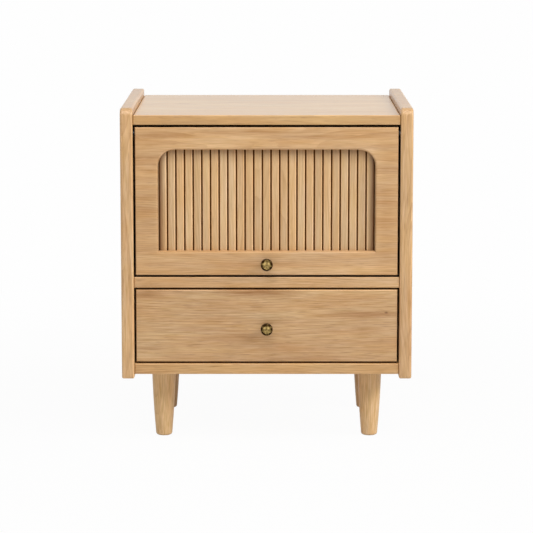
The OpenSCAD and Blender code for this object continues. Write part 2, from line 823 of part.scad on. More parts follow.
// Turned knob along -Y from the face at y = 0, with its stud in the wood behind
module knob() {
    r = knob_d / 2;
    shoulder = (knob_d - knob_face_d) / 2;
    rim = 5;
    head = shoulder + rim;
    flare_l = 3;
    dish = 0.5;
    foot_t = 2;
    foot_slope = 1;
    front = [for (a = [90:-15:0]) [
        knob_face_d / 2 + shoulder * cos(a),
        knob_reach - shoulder + shoulder * sin(a)
    ]];
    flare = [for (a = [0:15:90]) [
        knob_neck_d / 2 + (r - knob_neck_d / 2) * cos(a),
        knob_reach - head - flare_l * sin(a)
    ]];
    rotate([90, 0, 0]) rotate_extrude() polygon(concat(
        [[0, knob_reach - dish], [knob_face_d / 2 - dish, knob_reach - dish]],
        front,
        flare,
        [[knob_neck_d / 2, foot_t + foot_slope], [knob_foot_d / 2, foot_t], [knob_foot_d / 2, 0]],
        [[knob_stud_d / 2, 0], [knob_stud_d / 2, -knob_stud_l], [0, -knob_stud_l]]
    ));
}

module door_knob() {
    color(brass) translate([0, face_y, door_knob_z]) knob();
}

module drawer_knob() {
    color(brass) translate([0, face_y, drawer_knob_z]) knob();
}

// ---- Drawer ----

// The dovetails of a drawer side, seen from the side, with their roots on y = 0
module tail_outlines() {
    pitch = drawer_side_h / tail_count;
    spread = tail_len * tan(tail_slope);
    for (k = [0:tail_count - 1]) {
        translate([0, (k + 0.5) * pitch]) polygon([
            [0, -tail_root_w / 2],
            [0, tail_root_w / 2],
            [-tail_len, tail_root_w / 2 + spread],
            [-tail_len, -tail_root_w / 2 - spread]
        ]);
    }
}

module drawer_tails(reach) {
    translate([box_x - drawer_side_t, drawer_y, box_z]) along_x(drawer_side_t + reach) tail_outlines();
}

// Half-blind sockets, open at the ends of the front, take the dovetails
module drawer_front() {
    color(oak) difference() {
        translate([-door_w / 2, face_y, drawer_z])
            faced_board([door_w, drawer_front_t, drawer_h], panel_edge_r);
        for (s = SIDES) {
            on_side(s[1]) drawer_tails(1);
        }
        drawer_bottom_solid(0);
        translate([0, face_y + knob_stud_l, drawer_knob_z]) rotate([90, 0, 0])
            cylinder(d = knob_stud_d, h = knob_stud_l + 1);
    }
}

// The groove for the runner stops short of the front: its end meets the runner and stops the drawer
module drawer_side(hand) {
    color(oak_inside) difference() {
        on_side(hand) difference() {
            union() {
                translate([box_x - drawer_side_t, drawer_y, box_z])
                    cube([drawer_side_t, box_end_y - drawer_y, drawer_side_h]);
                drawer_tails(0);
            }
            translate([groove_x, runner_y, runner_z - groove_lift])
                cube([side_t, carcass_d, groove_lift + runner_h + runner_clear]);
        }
        drawer_back_solid(0);
        drawer_bottom_solid(0);
    }
}

module drawer_back_solid(clear) {
    half_w = box_x - drawer_side_t + drawer_back_dado - clear;
    z = tray_z + drawer_bottom_t;
    translate([-half_w, box_end_y - drawer_back_inset - drawer_back_t, z])
        cube([2 * half_w, drawer_back_t, box_z + drawer_side_h - z]);
}

module drawer_back() {
    color(oak_inside) drawer_back_solid(seat_clear);
}

module drawer_bottom_solid(clear) {
    half_w = box_x - drawer_side_t + drawer_bottom_groove - clear;
    y = drawer_y - drawer_bottom_groove + clear;
    translate([-half_w, y, tray_z])
        cube([2 * half_w, box_end_y - drawer_back_inset - y, drawer_bottom_t]);
}

module drawer_bottom() {
    color(oak_light) drawer_bottom_solid(seat_clear);
}

// The free corner of the runner's front end is rounded, so that it finds the groove
module drawer_runner(hand) {
    color(beech) difference() {
        on_side(hand) translate([wall_x - runner_w, runner_y, runner_z])
            linear_extrude(runner_h) rounded_rect([runner_w, runner_len], [runner_nose_r, 0, 0, 0]);
        carcass_screws();
    }
}

// ---- Pieces ----

top_panel();
middle_shelf();
bottom_panel();
back_panel();
carcass_dowels();
wood_screws();
leg_plates();
leg_bolts();
hinge_pins();
stay_housing();
stay_arm();
stay_link();
catch_body();
door_frame();
tambour_backing();
hinge_bushes();
stay_bracket();
catch_plate();
door_screws();
door_knob();
drawer_knob();
drawer_front();
drawer_back();
drawer_bottom();
for (s = SIDES) side_panel(s[1]);
for (s = SIDES) drawer_runner(s[1]);
for (s = SIDES) drawer_side(s[1]);
for (l = LEGS) leg(l);
for (s = SLATS) tambour_slat(s[1]);
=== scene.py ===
import math

import bpy
import numpy as np
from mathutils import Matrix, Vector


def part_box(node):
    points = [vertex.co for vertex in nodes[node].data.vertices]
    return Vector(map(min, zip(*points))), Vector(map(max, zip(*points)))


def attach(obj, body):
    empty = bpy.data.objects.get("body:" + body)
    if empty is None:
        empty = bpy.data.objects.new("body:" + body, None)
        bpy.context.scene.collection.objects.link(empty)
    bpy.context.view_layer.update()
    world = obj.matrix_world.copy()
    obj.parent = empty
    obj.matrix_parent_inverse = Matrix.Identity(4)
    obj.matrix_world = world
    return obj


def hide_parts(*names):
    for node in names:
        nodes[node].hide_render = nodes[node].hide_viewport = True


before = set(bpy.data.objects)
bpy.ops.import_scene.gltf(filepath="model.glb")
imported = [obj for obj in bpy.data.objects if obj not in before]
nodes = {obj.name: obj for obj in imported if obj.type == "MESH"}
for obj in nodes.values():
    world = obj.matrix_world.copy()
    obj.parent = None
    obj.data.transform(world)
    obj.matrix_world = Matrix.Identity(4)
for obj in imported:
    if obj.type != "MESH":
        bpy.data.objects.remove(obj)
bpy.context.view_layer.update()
mm = 0.001


def linear(hexColour):
    # each channel c of the sRGB hex turns to ((c + 0.055) / 1.055) ^ 2.4, or c / 12.92 where it is dark
    channels = np.array([int(hexColour[i:i + 2], 16) for i in (1, 3, 5)]) / 255
    light = np.where(channels > 0.04045, ((channels + 0.055) / 1.055) ** 2.4, channels / 12.92)
    return (*light.tolist(), 1.0)


def setInputs(tree, node, inputs):
    # each input takes a value, or a link where it is given another node's socket
    for key, value in inputs.items():
        if isinstance(value, bpy.types.NodeSocket):
            tree.links.new(value, node.inputs[key])
        else:
            node.inputs[key].default_value = value


def addNode(tree, kind, inputs, **settings):
    # one shader node with its settings and its inputs. A Mix of colours has its factor at input 0, its two
    # colours at inputs 6 and 7, and its result at output 2.
    node = tree.nodes.new("ShaderNode" + kind)
    for name, value in settings.items():
        setattr(node, name, value)
    setInputs(tree, node, inputs)
    return node


def newFinish(name):
    # an empty material with its node tree and a shader that reaches the output
    finish = bpy.data.materials.new(name)
    finish.use_nodes = True
    tree = finish.node_tree
    tree.nodes.clear()
    shader = addNode(tree, "BsdfPrincipled", {})
    addNode(tree, "OutputMaterial", {"Surface": shader.outputs["BSDF"]})
    return finish, tree, shader


def paint(nodeNames, finish):
    for nodeName in nodeNames:
        for materialSlot in nodes[nodeName].material_slots:
            materialSlot.material = finish


# Camera: level with a spot above the top, tipped down, so the top shows as a narrow strip
cameraSetup = {
    "place": (-0.3 * mm, -4206.3 * mm, 920.3 * mm),
    "pitchDown": 0.1528,  # radians below the horizon
    "focalPixels": 2469.3,  # focal length in pixels of a 533 pixel wide frame
    "framePixels": 533,
    "sensor": 36.0,
}

cameraData = bpy.data.cameras.new("camera")
cameraData.sensor_width = cameraSetup["sensor"]
cameraData.lens = cameraSetup["focalPixels"] / cameraSetup["framePixels"] * cameraSetup["sensor"]
camera = bpy.data.objects.new("camera", cameraData)
camera.location = cameraSetup["place"]
camera.rotation_euler = (math.pi / 2 - cameraSetup["pitchDown"], 0, 0)
bpy.context.scene.collection.objects.link(camera)
bpy.context.scene.camera = camera
bpy.context.scene.view_settings.view_transform = "Standard"
print("camera: lens", round(cameraData.lens, 1), "mm")

# Studio: a key lamp high on the right, a side lamp that draws out edges, a wide soft box above, a white room
studio = {
    "key lamp": {"place": (3.0, -3.1, 2.9), "aim": (0, 0, 0.3), "size": 1.5, "watts": 53},
    "side lamp": {"place": (3.4, -1.3, 2.2), "aim": (0, 0, 0.3), "size": 1.2, "watts": 63},
    "soft box": {"place": (-0.2, -1.7, 2.5), "aim": (0, -0.1, 0.3), "size": 2.2, "watts": 42},
    "fill": 0.25,  # what the room adds to matt surfaces, where 1 is white
    "room": "#FEFEFE",
    "floorSize": 9.0,
    "floorLines": 9,  # grid lines each way
    "floorPaint": "#F4F3F1",
    "shadowShare": 0.03,  # how much of the floor's own shading the camera sees near the table
    "shadowFade": (0.35, 1.5),  # metres from the middle over which that share falls to nothing
}


def softLamp(name, lamp):
    data = bpy.data.lights.new(name, "AREA")
    data.shape = "SQUARE"
    data.size = lamp["size"]
    data.energy = lamp["watts"]
    holder = bpy.data.objects.new(name, data)
    holder.location = lamp["place"]
    away = holder.location - Vector(lamp["aim"])
    holder.rotation_euler = away.to_track_quat("Z", "Y").to_euler()
    bpy.context.scene.collection.objects.link(holder)


for lampName in ("key lamp", "side lamp", "soft box"):
    softLamp(lampName, studio[lampName])


def seenDirectly(tree):
    # 1 for rays from the camera, off gloss or through glass, 0 for the light that falls on matt surfaces
    ray = addNode(tree, "LightPath", {})
    shiny = addNode(tree, "Math", {
        0: ray.outputs["Is Glossy Ray"],
        1: ray.outputs["Is Transmission Ray"],
    }, operation="MAXIMUM")
    return addNode(tree, "Math", {
        0: ray.outputs["Is Camera Ray"],
        1: shiny.outputs[0],
    }, operation="MAXIMUM").outputs[0]


room = bpy.data.worlds.new("white room")
room.use_nodes = True
room.node_tree.nodes.clear()
roomStrength = addNode(room.node_tree, "MapRange", {
    "Value": seenDirectly(room.node_tree),
    "To Min": studio["fill"],
    "To Max": 1.0,
})
roomLight = addNode(room.node_tree, "Background", {
    "Color": linear(studio["room"]),
    "Strength": roomStrength.outputs["Result"],
})
addNode(room.node_tree, "OutputWorld", {"Surface": roomLight.outputs[0]})
bpy.context.scene.world = room


def floorPaint():
    # matt white studio paint, which the camera sees mostly as plain white with a faint soft shadow
    finish, tree, shader = newFinish("matt white floor paint")
    setInputs(tree, shader, {
        "Base Color": linear(studio["floorPaint"]),
        "Roughness": 0.9,
        "Specular IOR Level": 0.0,
    })
    white = addNode(tree, "Emission", {"Color": linear(studio["room"]), "Strength": 1.0})
    place = addNode(tree, "TexCoord", {}).outputs["Object"]
    reach = addNode(tree, "VectorMath", {0: place}, operation="LENGTH").outputs["Value"]
    plain = addNode(tree, "MapRange", {
        "Value": reach,
        "From Min": studio["shadowFade"][0],
        "From Max": studio["shadowFade"][1],
        "To Min": 1 - studio["shadowShare"],
        "To Max": 1.0,
    }, interpolation_type="SMOOTHSTEP").outputs["Result"]
    share = addNode(tree, "Math", {0: seenDirectly(tree), 1: plain}, operation="MULTIPLY")
    blend = addNode(tree, "MixShader", {
        0: share.outputs[0],
        1: shader.outputs["BSDF"],
        2: white.outputs[0],
    })
    setInputs(tree, tree.nodes["Material Output"], {"Surface": blend.outputs[0]})
    return finish


def gridFaces(rows, columns, closed):
    # each cell of the grid becomes one four-sided face; a closed grid also joins its last column to its first
    span = columns if closed else columns - 1
    row, column = np.meshgrid(np.arange(rows - 1), np.arange(span), indexing="ij")
    following = (column + 1) % columns
    low, high = row * columns, (row + 1) * columns
    corners = [low + column, low + following, high + following, high + column]
    return np.stack(corners, axis=-1).reshape(-1, 4).tolist()


def meshPiece(name, points, faces, finish):
    mesh = bpy.data.meshes.new(name)
    mesh.from_pydata(points.tolist(), [], faces)
    mesh.materials.append(finish)
    piece = bpy.data.objects.new(name, mesh)
    bpy.context.scene.collection.objects.link(piece)
    return piece


def studioFloor():
    # a flat grid at z = 0: x and y both run from minus half to plus half the floor's size
    lines = studio["floorLines"]
    steps = np.linspace(-0.5, 0.5, lines) * studio["floorSize"]
    x, y = np.meshgrid(steps, steps, indexing="xy")
    points = np.stack([x, y, np.zeros_like(x)], axis=-1).reshape(-1, 3)
    floor = meshPiece("studio_floor", points, gridFaces(lines, lines, False), floorPaint())


studioFloor()
print("studio: three soft lamps, white room, floor")

# White oak: each board is a cut through one kind of log. The grain axis of the cut is where the fibres run,
# the heart is where the middle of the log would be, across the grain, and the seed tells one board from
# another. The depth of rings, pores, flames and a knot is how far they turn the wood to their own colour,
# where 1 is all the way.
oak = {
    "pale": "#CFA977",
    "honey": "#BD8E5C",
    "latewood": "#956432",
    "pore": "#6E4426",
    # painted shade colour, used on the slats beside the window frame
    "paintedShadeBrown": "#5C310C",
    "tint": "#FFFFFF",
    "widths": {},  # of the figures that a board draws wider or narrower than their list says
    "ringPitch": 2.8 * mm,
    "ringDepth": 0.55,
    "faintRings": 0.25,  # how much of a ring is left in the zones where rings are faint
    "lateRise": 2.2,  # the power by which the wood darkens towards the end of each year
    "ringDrift": 26 * mm,  # how far the heart wanders along a board
    "turnsPerMetre": 3.0,  # how often the heart changes its course
    "waver": 3 * mm,  # how far a ring strays from a true circle
    "fibreDepth": 0.2,  # how much lighter and darker the fibres are
    "fibreSwing": (0.75, 1.0, 1.8),  # a dark fibre loses more blue than red, so it is brown, not grey
    "poreDepth": 0.3,
    "poreHollow": 0.6,  # how deep a pore is, where 1 is the fibres' own relief
    "relief": 0.12 * mm,
    "hueDrift": 0.06,  # how far the hue differs from zone to zone
    "hueSwing": (0.4, 0.0, -1.0),  # some zones are yellower, others pinker
    "bandShare": 0.45,  # how much of the change from pale to honey runs in bands, the rest in patches
    "endGrain": 0.62,  # how dark the oil turns the ends of the fibres, where 1 is like the faces
    "edgeWearAndHighlight": 1.2,  # how much paler the rounded edges are, partly wear and partly a painted highlight, where 1 is like the faces
    "frontFaceTone": 1.0,  # how dark the faces turned to the front are, where 1 is like the other faces
    "sheen": (0.38, 0.50),  # roughness of the oil, from the dark fibres to the pale ones
    "coat": 0.2,
    "coatRoughness": 0.2,
    "specular": 0.5,
}
woodColours = ("pale", "honey", "latewood", "pore", "paintedShadeBrown")
grainTurn = {
    "X": (0, 0, 0),
    "Y": (0, 0, -math.pi / 2),
    "Z": (0, math.pi / 2, 0),
}

# Each figure is noise with one feature per width across the grain, drawn out by stretch along it. The offset
# tells it from the others, and over the span the noise takes the figure from nothing to full. Real fibres are
# five times as fine as these, and real pores three times, but those would be too fine to show.
figures = {
    "sway": {"width": 20 * mm, "stretch": 12, "offset": 1.3, "detail": 2.0, "span": (0.0, 1.0)},
    "clarity": {"width": 30 * mm, "stretch": 5, "offset": 2.1, "detail": 1.0, "span": (0.35, 0.65)},
    "fibres": {"width": 2.0 * mm, "stretch": 18, "offset": 3.7, "detail": 3.0, "span": (0.3, 0.7)},
    "pores": {"width": 1.3 * mm, "stretch": 14, "offset": 5.9, "detail": 1.0, "span": (0.58, 0.72)},
    "patches": {"width": 60 * mm, "stretch": 3, "offset": 7.7, "detail": 2.0, "span": (0.3, 0.7)},
    "bands": {"width": 9 * mm, "stretch": 16, "offset": 8.9, "detail": 2.0, "span": (0.3, 0.7)},
    "fraying": {"width": 5 * mm, "stretch": 10, "offset": 9.9, "detail": 2.0, "span": (0.35, 0.65)},
    "hue": {"width": 14 * mm, "stretch": 8, "offset": 12.1, "detail": 2.0, "span": (0.35, 0.65)},
}


def streaks(board, name):
    # the figure's noise. A board holds its material's tree, its look, and the place on it, both in the
    # table's own axes and in axes whose X runs along the grain.
    tree, look, drawing = board["tree"], board["look"], figures[name]
    drawn = addNode(tree, "VectorMath", {
        0: board["along"],
        1: (1 / drawing["stretch"], 1, 1),
    }, operation="MULTIPLY")
    return addNode(tree, "TexNoise", {
        "Vector": drawn.outputs[0],
        "W": look["seed"] + drawing["offset"],
        "Scale": 1 / look["widths"].get(name, drawing["width"]),
        "Detail": drawing["detail"],
    }, noise_dimensions="4D").outputs["Fac"]


def figure(board, name, low=0.0, high=1.0):
    # the figure's own span, brought to run from low to high
    return addNode(board["tree"], "MapRange", {
        "Value": streaks(board, name),
        "From Min": figures[name]["span"][0],
        "From Max": figures[name]["span"][1],
        "To Min": low,
        "To Max": high,
    }).outputs["Result"]


def stripChance(board):
    # a random colour and value for each strip, from the strip's number: floor((x - first) / pitch)
    tree, strips = board["tree"], board["look"]["strips"]
    sideways = addNode(tree, "SeparateXYZ", {"Vector": board["place"]}).outputs["X"]
    fromFirst = addNode(tree, "Math", {0: sideways, 1: strips["first"]}, operation="SUBTRACT")
    counted = addNode(tree, "Math", {0: fromFirst.outputs[0], 1: strips["pitch"]}, operation="DIVIDE")
    number = addNode(tree, "Math", {0: counted.outputs[0]}, operation="FLOOR")
    return addNode(tree, "TexWhiteNoise", {"W": number.outputs[0]}, noise_dimensions="1D").outputs


def knotReach(board):
    # distance from the knot's middle, in a knot that is a little longer along X than up
    tree, knot = board["tree"], board["look"]["knot"]
    fromMiddle = addNode(tree, "VectorMath", {0: board["place"], 1: knot["place"]}, operation="SUBTRACT")
    flat = addNode(tree, "VectorMath", {
        0: fromMiddle.outputs[0],
        1: (knot["flatness"], 0, 1),
    }, operation="MULTIPLY")
    return addNode(tree, "VectorMath", {0: flat.outputs[0]}, operation="LENGTH").outputs["Value"]


def growthRings(board):
    # fraction((distance from the wandering heart + sway) / ring pitch) ^ late rise, times the rings' clarity
    tree, look = board["tree"], board["look"]
    course = addNode(tree, "VectorMath", {
        0: board["along"],
        1: (look["turnsPerMetre"], 0, 0),
    }, operation="MULTIPLY")
    wander = addNode(tree, "TexNoise", {
        "Vector": course.outputs[0],
        "W": look["seed"],
        "Scale": 1.0,
        "Detail": 1.0,
    }, noise_dimensions="4D")
    centred = addNode(tree, "VectorMath", {
        0: wander.outputs["Color"],
        1: (0.5, 0.5, 0.5),
    }, operation="SUBTRACT")
    drift = addNode(tree, "VectorMath", {
        0: centred.outputs[0],
        1: (0, look["ringDrift"] * 2, look["ringDrift"] * 2),
    }, operation="MULTIPLY")
    moved = addNode(tree, "VectorMath", {0: board["along"], 1: drift.outputs[0]}, operation="ADD")
    fromHeart = addNode(tree, "VectorMath", {
        0: moved.outputs[0],
        1: (0, *look["heart"]),
    }, operation="SUBTRACT")
    across = addNode(tree, "VectorMath", {0: fromHeart.outputs[0], 1: (0, 1, 1)}, operation="MULTIPLY")
    radius = addNode(tree, "VectorMath", {0: across.outputs[0]}, operation="LENGTH").outputs["Value"]
    sway = figure(board, "sway", -look["waver"], look["waver"])
    distance = addNode(tree, "Math", {0: radius, 1: sway}, operation="ADD").outputs[0]
    if "knot" in look:
        bulge = addNode(tree, "MapRange", {
            "Value": board["knotReach"],
            "From Max": look["knot"]["bulgeReach"],
            "To Min": look["knot"]["size"],
            "To Max": 0,
        })
        distance = addNode(tree, "Math", {0: distance, 1: bulge.outputs[0]}, operation="ADD").outputs[0]
    years = addNode(tree, "Math", {0: distance, 1: look["ringPitch"]}, operation="DIVIDE")
    season = addNode(tree, "Math", {0: years.outputs[0]}, operation="FRACT")
    late = addNode(tree, "Math", {0: season.outputs[0], 1: look["lateRise"]}, operation="POWER")
    clarity = figure(board, "clarity", look["faintRings"])
    return addNode(tree, "Math", {0: late.outputs[0], 1: clarity}, operation="MULTIPLY").outputs[0]


# Flames are long brown ovals that fade outwards and fray along the fibres
flameShape = {
    "fade": (0.2, 1.3),  # where the fading starts and ends, where 1 is the oval's edge
    "frayed": 0.55,  # how much is left of a flame where it is most frayed
}


def flameAmounts(board):
    # each is depth * fade(length of ((place - middle) / half sizes)) * frayed
    tree, look = board["tree"], board["look"]
    frayed = figure(board, "fraying", flameShape["frayed"])
    amounts = []
    for flame in look["flames"]:
        fromMiddle = addNode(tree, "VectorMath", {0: board["place"], 1: flame["place"]}, operation="SUBTRACT")
        stretched = addNode(tree, "VectorMath", {
            0: fromMiddle.outputs[0],
            1: (1 / flame["half"][0], 0, 1 / flame["half"][1]),
        }, operation="MULTIPLY")
        outward = addNode(tree, "VectorMath", {0: stretched.outputs[0]}, operation="LENGTH")
        fade = addNode(tree, "MapRange", {
            "Value": outward.outputs["Value"],
            "From Min": flameShape["fade"][0],
            "From Max": flameShape["fade"][1],
            "To Min": flame["depth"],
            "To Max": 0,
        })
        amount = addNode(tree, "Math", {0: fade.outputs[0], 1: frayed}, operation="MULTIPLY")
        amounts.append(amount.outputs[0])
    return amounts


def frameShadeAmounts(board):
    # painted shade beside the window frame, standing in for the shadow in the window's recess: a wide edge
    # under its head, narrow ones at its ends
    tree, frameShade = board["tree"], board["look"]["frameShade"]
    parts = addNode(tree, "SeparateXYZ", {"Vector": board["place"]}).outputs
    sideways = addNode(tree, "Math", {0: parts["X"]}, operation="ABSOLUTE").outputs[0]
    amounts = []
    for value, edge in ((parts["Z"], frameShade["head"]), (sideways, frameShade["end"])):
        amount = addNode(tree, "MapRange", {
            "Value": value,
            "From Min": edge["place"] - edge["reach"],
            "From Max": edge["place"],
            "To Max": edge["depth"],
        })
        amounts.append(amount.outputs[0])
    return amounts


# Painted shade: dark brown along the gap round the door, behind the boards' front edges, standing in for the
# gap's deep shadow
doorGapShade = {
    "gapDarkness": "#281108",
    "starts": -0.5 * mm,  # these four are measured outwards from the door's edge
    "full": -0.2 * mm,
    "fades": 4.2 * mm,
    "ends": 4.6 * mm,
    "fadeBehind": 2 * mm,  # over which it fades behind the door's back
    "fadeInFront": 1 * mm,  # over which it comes in behind a board's bare front edge
}


def paintedGapShade(board):
    # how much painted gap shade a place gets: the product of four limits: two on how far a place lies outside
    # the door's edge, by the larger of its ways along X and Z, and two on how deep it lies
    tree, frontEdge = board["tree"], board["look"]["gapShadeFront"]
    low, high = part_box("door_frame")
    fromMiddle = addNode(tree, "VectorMath", {0: board["place"], 1: (low + high) / 2}, operation="SUBTRACT")
    eitherWay = addNode(tree, "VectorMath", {0: fromMiddle.outputs[0]}, operation="ABSOLUTE")
    beyond = addNode(tree, "VectorMath", {0: eitherWay.outputs[0], 1: (high - low) / 2}, operation="SUBTRACT")
    past = addNode(tree, "SeparateXYZ", {"Vector": beyond.outputs[0]}).outputs
    outward = addNode(tree, "Math", {0: past["X"], 1: past["Z"]}, operation="MAXIMUM").outputs[0]
    depth = addNode(tree, "SeparateXYZ", {"Vector": board["place"]}).outputs["Y"]
    gapDarkness = 1.0
    for value, unshaded, fullyShaded in (
        (outward, doorGapShade["starts"], doorGapShade["full"]),
        (outward, doorGapShade["ends"], doorGapShade["fades"]),
        (depth, high.y + doorGapShade["fadeBehind"], high.y),
        (depth, frontEdge, frontEdge + doorGapShade["fadeInFront"]),
    ):
        limit = addNode(tree, "MapRange", {"Value": value, "From Min": unshaded, "From Max": fullyShaded})
        gapDarkness = addNode(tree, "Math", {0: gapDarkness, 1: limit.outputs[0]}, operation="MULTIPLY").outputs[0]
    return gapDarkness


# How squarely a surface faces an axis where a shade starts and where it is full: 1 is squarely
facings = {
    "endGrain": (0.35, 0.85),  # along the grain
    "edgeWearAndHighlight": (0.99, 0.88),  # along the axis that it faces most, so the shade is on the rounded edges
    "frontFaceTone": (0.3, 0.8),  # to the front
}


def handling(board, brightness):
    # brightness, times the darker oil on a board's ends, the paler rounded edges (partly wear, partly painted
    # highlight) and the tone of the faces turned to the front
    tree, look = board["tree"], board["look"]
    normal = addNode(tree, "VectorMath", {
        0: addNode(tree, "TexCoord", {}).outputs["Normal"],
    }, operation="ABSOLUTE").outputs[0]
    facing = addNode(tree, "SeparateXYZ", {"Vector": normal}).outputs
    widest = addNode(tree, "Math", {0: facing["X"], 1: facing["Y"]}, operation="MAXIMUM").outputs[0]
    widest = addNode(tree, "Math", {0: widest, 1: facing["Z"]}, operation="MAXIMUM").outputs[0]
    for part, value in (("endGrain", facing[look["grain"]]), ("edgeWearAndHighlight", widest), ("frontFaceTone", facing["Y"])):
        share = addNode(tree, "MapRange", {
            "Value": value,
            "From Min": facings[part][0],
            "From Max": facings[part][1],
            "To Min": 1,
            "To Max": look[part],
        })
        shaded = addNode(tree, "Math", {0: brightness, 1: share.outputs[0]}, operation="MULTIPLY")
        brightness = shaded.outputs[0]
    return brightness


def oakBoard(name, cut):
    # planed and oiled white oak: growth rings round the heart, broken up by fibres, pores and paler patches
    look = {**oak, **cut}
    finish, tree, shader = newFinish(name)
    tint = linear(look["tint"])
    shade = {part: tuple(c * t for c, t in zip(linear(look[part]), tint)) for part in woodColours}
    place = addNode(tree, "TexCoord", {}).outputs["Object"]
    turned = addNode(tree, "Mapping", {"Vector": place, "Rotation": grainTurn[look["grain"]]})
    board = {"tree": tree, "look": look, "place": place, "along": turned.outputs[0]}
    ownTone = 1.0
    if "strips" in look:
        # each strip of a set, such as the slats, is wood of its own: its number shifts every figure
        chance = stripChance(board)
        jump = addNode(tree, "VectorMath", {
            0: chance["Color"],
            1: look["strips"]["jump"],
        }, operation="MULTIPLY")
        shifted = addNode(tree, "VectorMath", {0: board["along"], 1: jump.outputs[0]}, operation="ADD")
        board["along"] = shifted.outputs[0]
        ownTone = addNode(tree, "MapRange", {
            "Value": chance["Value"],
            "To Min": 1 - look["strips"]["toneSpread"],
            "To Max": 1 + look["strips"]["toneSpread"],
        }).outputs["Result"]
    if "knot" in look:
        board["knotReach"] = knotReach(board)

    # the body runs from pale to honey, in bands and in wide patches
    patches = figure(board, "patches", 0, 1 - look["bandShare"])
    bands = figure(board, "bands", 0, look["bandShare"])
    tone = addNode(tree, "Math", {0: patches, 1: bands}, operation="ADD")
    colour = addNode(tree, "Mix", {
        0: tone.outputs[0],
        6: shade["pale"],
        7: shade["honey"],
    }, data_type="RGBA").outputs[2]

    # darker figures lie over it, one after another, and last the painted shade beside the window frame
    pores = figure(board, "pores")
    layers = []
    for amount, depth, part in (
        (growthRings(board), look["ringDepth"], "latewood"),
        (pores, look["poreDepth"], "pore"),
    ):
        deepened = addNode(tree, "Math", {0: amount, 1: depth}, operation="MULTIPLY")
        layers.append((deepened.outputs[0], shade[part]))
    if "knot" in look:
        core = addNode(tree, "MapRange", {
            "Value": board["knotReach"],
            "From Min": look["knot"]["coreReach"],
            "From Max": look["knot"]["size"],
            "To Min": look["knot"]["depth"],
            "To Max": 0,
        })
        layers.append((core.outputs[0], linear(look["knot"]["colour"])))
    if "flames" in look:
        layers += [(amount, shade["latewood"]) for amount in flameAmounts(board)]
    # painted shade: darker brown on the slats beside the window frame, standing in for the recess's shadow
    if "frameShade" in look:
        layers += [(amount, shade["paintedShadeBrown"]) for amount in frameShadeAmounts(board)]
    for amount, over in layers:
        colour = addNode(tree, "Mix", {0: amount, 6: colour, 7: over}, data_type="RGBA").outputs[2]

    # the fibres, and then zones of another hue, make each colour channel lighter or darker by its own swing
    fibres = streaks(board, "fibres")
    fibreTone = addNode(tree, "MapRange", {
        "Value": fibres,
        "From Min": figures["fibres"]["span"][0],
        "From Max": figures["fibres"]["span"][1],
    }).outputs["Result"]
    for value, depth, swing in (
        (fibreTone, look["fibreDepth"], look["fibreSwing"]),
        (figure(board, "hue"), look["hueDrift"], look["hueSwing"]),
    ):
        swung = addNode(tree, "Mix", {
            0: value,
            6: (*(1 - part * depth for part in swing), 1),
            7: (*(1 + part * depth for part in swing), 1),
        }, data_type="RGBA")
        swayed = addNode(tree, "VectorMath", {0: colour, 1: swung.outputs[2]}, operation="MULTIPLY")
        colour = swayed.outputs[0]
    colour = addNode(tree, "VectorMath", {
        0: colour,
        "Scale": handling(board, ownTone),
    }, operation="SCALE").outputs[0]
    # painted shade round the door gap, standing in for its deep shadow
    if "gapShadeFront" in look:
        colour = addNode(tree, "Mix", {
            0: paintedGapShade(board),
            6: colour,
            7: linear(doorGapShade["gapDarkness"]),
        }, data_type="RGBA").outputs[2]

    roughness = addNode(tree, "MapRange", {
        "Value": fibreTone,
        "To Min": look["sheen"][0],
        "To Max": look["sheen"][1],
    })
    hollows = addNode(tree, "Math", {0: pores, 1: -look["poreHollow"]}, operation="MULTIPLY")
    height = addNode(tree, "Math", {0: fibres, 1: hollows.outputs[0]}, operation="ADD")
    bump = addNode(tree, "Bump", {
        "Strength": 0.5,
        "Distance": look["relief"],
        "Height": height.outputs[0],
    })
    setInputs(tree, shader, {
        "Base Color": colour,
        "Roughness": roughness.outputs["Result"],
        "Normal": bump.outputs[0],
        "IOR": 1.5,
        "Specular IOR Level": look["specular"],
        "Coat Weight": look["coat"],
        "Coat Roughness": look["coatRoughness"],
    })
    return finish


def middle(nodeName, axis):
    low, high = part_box(nodeName)
    return (low[axis] + high[axis]) / 2


